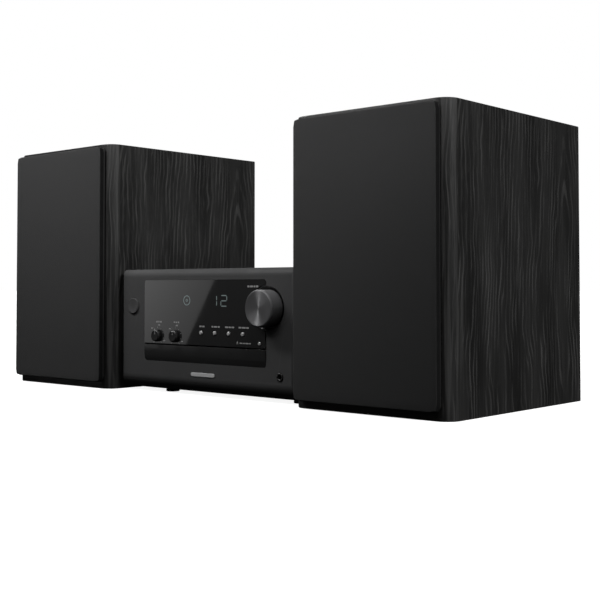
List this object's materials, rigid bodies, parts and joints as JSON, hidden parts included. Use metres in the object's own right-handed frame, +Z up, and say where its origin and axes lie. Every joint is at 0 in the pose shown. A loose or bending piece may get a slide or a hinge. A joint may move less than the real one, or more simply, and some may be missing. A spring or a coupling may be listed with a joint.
{
  "type": "mini hifi system",
  "caption": "Compact disc receiver with a motorised tray and turned controls, between two free-standing two-way bookshelf speakers with pull-off cloth grilles.",
  "frame": {"origin": "on the floor, at the middle of the whole system's box", "axes": "+X to the listener's right, along the row of the three boxes; +Y from the fronts to the backs; +Z up"},
  "size_m": [0.5124, 0.272, 0.224],
  "materials": {
    "black_ash_vinyl": "black ash grain vinyl over board, satin, vertical grain",
    "baffle_board": "matte black painted board",
    "grille_plastic": "fine matte black moulding",
    "grille_cloth": "dark grey acoustic cloth, fine plain weave",
    "cone_paper": "dark pulp cone with a rubber surround",
    "driver_steel": "black painted pressed steel and magnet",
    "panel_plastic": "dark grey satin moulding",
    "gloss_black": "glossy smoked black",
    "cover_steel": "black textured paint on steel",
    "zinc_steel": "zinc plated steel sheet",
    "rubber": "black rubber",
    "black_plastic": "black moulding",
    "grey_plastic": "grey glass-filled moulding",
    "white_plastic": "white acetal",
    "knob_metal": "spun aluminium, black anodised",
    "circuit_board": "green laminate with parts",
    "lever_red": "red moulding",
    "nickel": "nickel plate"
  },
  "bodies": {
    "receiver": {"front_panel": "panel_plastic", "display_window": "gloss_black", "top_cover": "cover_steel", "chassis_base": "zinc_steel", "rear_panel": "cover_steel", "foot_front_left": "rubber", "foot_rear_left": "rubber", "foot_front_right": "rubber", "foot_rear_right": "rubber", "headphone_jack": "black_plastic", "ac_inlet": "black_plastic", "antenna_socket": "nickel", "speaker_terminal_block": "black_plastic", "main_board": "circuit_board", "power_board": "circuit_board", "front_board": "circuit_board", "loader_frame": "grey_plastic", "clamp_bridge": "grey_plastic"},
    "tray": {"disc_tray": "black_plastic", "tray_fascia": "gloss_black"},
    "loading_gear": {"loading_gear": "white_plastic"},
    "traverse": {"traverse_plate": "zinc_steel"},
    "turntable": {"turntable": "black_plastic"},
    "pickup": {"pickup_sled": "grey_plastic"},
    "clamp_puck": {"clamp_puck": "white_plastic"},
    "volume_knob": {"volume_knob": "knob_metal"},
    "bass_knob": {"bass_knob": "black_plastic"},
    "treble_knob": {"treble_knob": "black_plastic"},
    "power_button": {"power_button": "black_plastic"},
    "source_button": {"source_button": "nickel"},
    "play_button": {"play_button": "nickel"},
    "stop_button": {"stop_button": "nickel"},
    "skip_button": {"skip_button": "nickel"},
    "open_close_button": {"open_close_button": "nickel"},
    "lever_left_red": {"lever_left_red": "lever_red"},
    "lever_left_black": {"lever_left_black": "black_plastic"},
    "lever_right_red": {"lever_right_red": "lever_red"},
    "lever_right_black": {"lever_right_black": "black_plastic"},
    "left_speaker": {"left_cabinet": "black_ash_vinyl", "left_front_baffle": "baffle_board", "left_woofer": "driver_steel", "left_tweeter": "driver_steel", "left_port_tube": "black_plastic", "left_terminal_cup": "black_plastic"},
    "left_grille": {"left_grille_frame": "grille_plastic", "left_grille_cloth": "grille_cloth"},
    "left_cone": {"left_woofer_cone": "cone_paper"},
    "left_lever_red": {"left_lever_red": "lever_red"},
    "left_lever_black": {"left_lever_black": "black_plastic"},
    "right_speaker": {"right_cabinet": "black_ash_vinyl", "right_front_baffle": "baffle_board", "right_woofer": "driver_steel", "right_tweeter": "driver_steel", "right_port_tube": "black_plastic", "right_terminal_cup": "black_plastic"},
    "right_grille": {"right_grille_frame": "grille_plastic", "right_grille_cloth": "grille_cloth"},
    "right_cone": {"right_woofer_cone": "cone_paper"},
    "right_lever_red": {"right_lever_red": "lever_red"},
    "right_lever_black": {"right_lever_black": "black_plastic"}
  },
  "joints": [
    {"name": "tray_slide", "type": "slide", "parent": "receiver", "child": "tray", "axis": [0, -1, 0], "range_m": [0, 0.13]},
    {"name": "loading_gear_turn", "type": "hinge", "parent": "receiver", "child": "loading_gear", "pos_m": [-0.0431, -0.0976, 0.028], "axis": [0, 0, 1], "range_deg": [0, 625]},
    {"name": "traverse_lift", "type": "slide", "parent": "receiver", "child": "traverse", "axis": [0, 0, 1], "range_m": [0, 0.005]},
    {"name": "turntable_spin", "type": "hinge", "parent": "traverse", "child": "turntable", "pos_m": [0.0006, -0.0466, 0.0285], "axis": [0, 0, 1], "continuous": true},
    {"name": "pickup_slide", "type": "slide", "parent": "traverse", "child": "pickup", "axis": [0, 1, 0], "range_m": [0, 0.033]},
    {"name": "clamp_puck_spin", "type": "hinge", "parent": "receiver", "child": "clamp_puck", "pos_m": [0.0006, -0.0466, 0.042], "axis": [0, 0, 1], "continuous": true},
    {"name": "volume_turn", "type": "hinge", "parent": "receiver", "child": "volume_knob", "pos_m": [0.0768, -0.1246, 0.0757], "axis": [0, 1, 0], "continuous": true},
    {"name": "bass_turn", "type": "hinge", "parent": "receiver", "child": "bass_knob", "pos_m": [-0.0555, -0.1226, 0.05], "axis": [0, 1, 0], "range_deg": [-140, 140]},
    {"name": "treble_turn", "type": "hinge", "parent": "receiver", "child": "treble_knob", "pos_m": [-0.0325, -0.1226, 0.05], "axis": [0, 1, 0], "range_deg": [-140, 140]},
    {"name": "power_press", "type": "slide", "parent": "receiver", "child": "power_button", "axis": [0, 1, 0], "range_m": [0, 0.0015], "stiffness_N_per_m": 500},
    {"name": "source_press", "type": "slide", "parent": "receiver", "child": "source_button", "axis": [0, 1, 0], "range_m": [0, 0.0008], "stiffness_N_per_m": 500},
    {"name": "play_press", "type": "slide", "parent": "receiver", "child": "play_button", "axis": [0, 1, 0], "range_m": [0, 0.0008], "stiffness_N_per_m": 500},
    {"name": "stop_press", "type": "slide", "parent": "receiver", "child": "stop_button", "axis": [0, 1, 0], "range_m": [0, 0.0008], "stiffness_N_per_m": 500},
    {"name": "skip_press", "type": "slide", "parent": "receiver", "child": "skip_button", "axis": [0, 1, 0], "range_m": [0, 0.0008], "stiffness_N_per_m": 500},
    {"name": "open_close_press", "type": "slide", "parent": "receiver", "child": "open_close_button", "axis": [0, 1, 0], "range_m": [0, 0.0008], "stiffness_N_per_m": 500},
    {"name": "lever_left_red_press", "type": "hinge", "parent": "receiver", "child": "lever_left_red", "pos_m": [-0.03, 0.1195, 0.052], "axis": [-1, 0, 0], "range_deg": [0, 25], "stiffness_Nm_per_rad": 0.05},
    {"name": "lever_left_black_press", "type": "hinge", "parent": "receiver", "child": "lever_left_black", "pos_m": [-0.01, 0.1195, 0.052], "axis": [-1, 0, 0], "range_deg": [0, 25], "stiffness_Nm_per_rad": 0.05},
    {"name": "lever_right_red_press", "type": "hinge", "parent": "receiver", "child": "lever_right_red", "pos_m": [0.01, 0.1195, 0.052], "axis": [-1, 0, 0], "range_deg": [0, 25], "stiffness_Nm_per_rad": 0.05},
    {"name": "lever_right_black_press", "type": "hinge", "parent": "receiver", "child": "lever_right_black", "pos_m": [0.03, 0.1195, 0.052], "axis": [-1, 0, 0], "range_deg": [0, 25], "stiffness_Nm_per_rad": 0.05},
    {"name": "left_speaker_move", "type": "slide", "parent": "receiver", "child": "left_speaker", "axis": [-1, 0, 0], "range_m": [0, 0.3]},
    {"name": "left_grille_pull", "type": "slide", "parent": "left_speaker", "child": "left_grille", "axis": [0, -1, 0], "range_m": [0, 0.03]},
    {"name": "left_cone_travel", "type": "slide", "parent": "left_speaker", "child": "left_cone", "axis": [0, -1, 0], "range_m": [-0.002, 0.002], "stiffness_N_per_m": 1200},
    {"name": "left_lever_red_press", "type": "hinge", "parent": "left_speaker", "child": "left_lever_red", "pos_m": [-0.1937, 0.0485, 0.074], "axis": [-1, 0, 0], "range_deg": [0, 25], "stiffness_Nm_per_rad": 0.05},
    {"name": "left_lever_black_press", "type": "hinge", "parent": "left_speaker", "child": "left_lever_black", "pos_m": [-0.1737, 0.0485, 0.074], "axis": [-1, 0, 0], "range_deg": [0, 25], "stiffness_Nm_per_rad": 0.05},
    {"name": "right_speaker_move", "type": "slide", "parent": "receiver", "child": "right_speaker", "axis": [1, 0, 0], "range_m": [0, 0.3]},
    {"name": "right_grille_pull", "type": "slide", "parent": "right_speaker", "child": "right_grille", "axis": [0, -1, 0], "range_m": [0, 0.03]},
    {"name": "right_cone_travel", "type": "slide", "parent": "right_speaker", "child": "right_cone", "axis": [0, -1, 0], "range_m": [-0.002, 0.002], "stiffness_N_per_m": 1200},
    {"name": "right_lever_red_press", "type": "hinge", "parent": "right_speaker", "child": "right_lever_red", "pos_m": [0.1737, 0.0485, 0.074], "axis": [-1, 0, 0], "range_deg": [0, 25], "stiffness_Nm_per_rad": 0.05},
    {"name": "right_lever_black_press", "type": "hinge", "parent": "right_speaker", "child": "right_lever_black", "pos_m": [0.1937, 0.0485, 0.074], "axis": [-1, 0, 0], "range_deg": [0, 25], "stiffness_Nm_per_rad": 0.05}
  ],
  "couplings": [
    {"joint": "loading_gear_turn", "follows": "tray_slide", "rad_per_m": 83.333},
    {"joint": "clamp_puck_spin", "follows": "turntable_spin", "ratio": 1}
  ]
}
